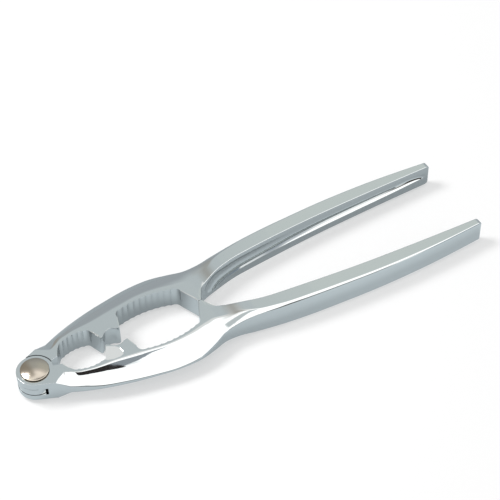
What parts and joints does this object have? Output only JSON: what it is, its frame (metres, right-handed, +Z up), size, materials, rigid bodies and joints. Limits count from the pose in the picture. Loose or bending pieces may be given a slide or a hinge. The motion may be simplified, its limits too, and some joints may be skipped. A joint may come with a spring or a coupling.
{
  "type": "lever nutcracker press",
  "caption": "Plated hand nutcracker: two long levers riveted at one end, with a small and a large serrated cavity between their bevelled jaws.",
  "frame": {"origin": "middle of the closed tool's bounding box, on the surface that it lies on", "axes": "+X from the pivot to the handle tips, +Y across the levers towards the tongue lever, +Z up along the pivot"},
  "size_m": [0.2, 0.047, 0.0126],
  "materials": {
    "plated_levers": "bright plated casting with soft polishing waves",
    "rivet_steel": "warm satin nickel"
  },
  "bodies": {
    "fork": {"fork_lever": "plated_levers", "pivot_rivet": "rivet_steel"},
    "tongue": {"tongue_lever": "plated_levers"}
  },
  "joints": [
    {"name": "pivot", "type": "hinge", "parent": "fork", "child": "tongue", "pos_m": [-0.0928, 0, 0.00615], "axis": [0, 0, 1], "range_deg": [0, 150]}
  ]
}
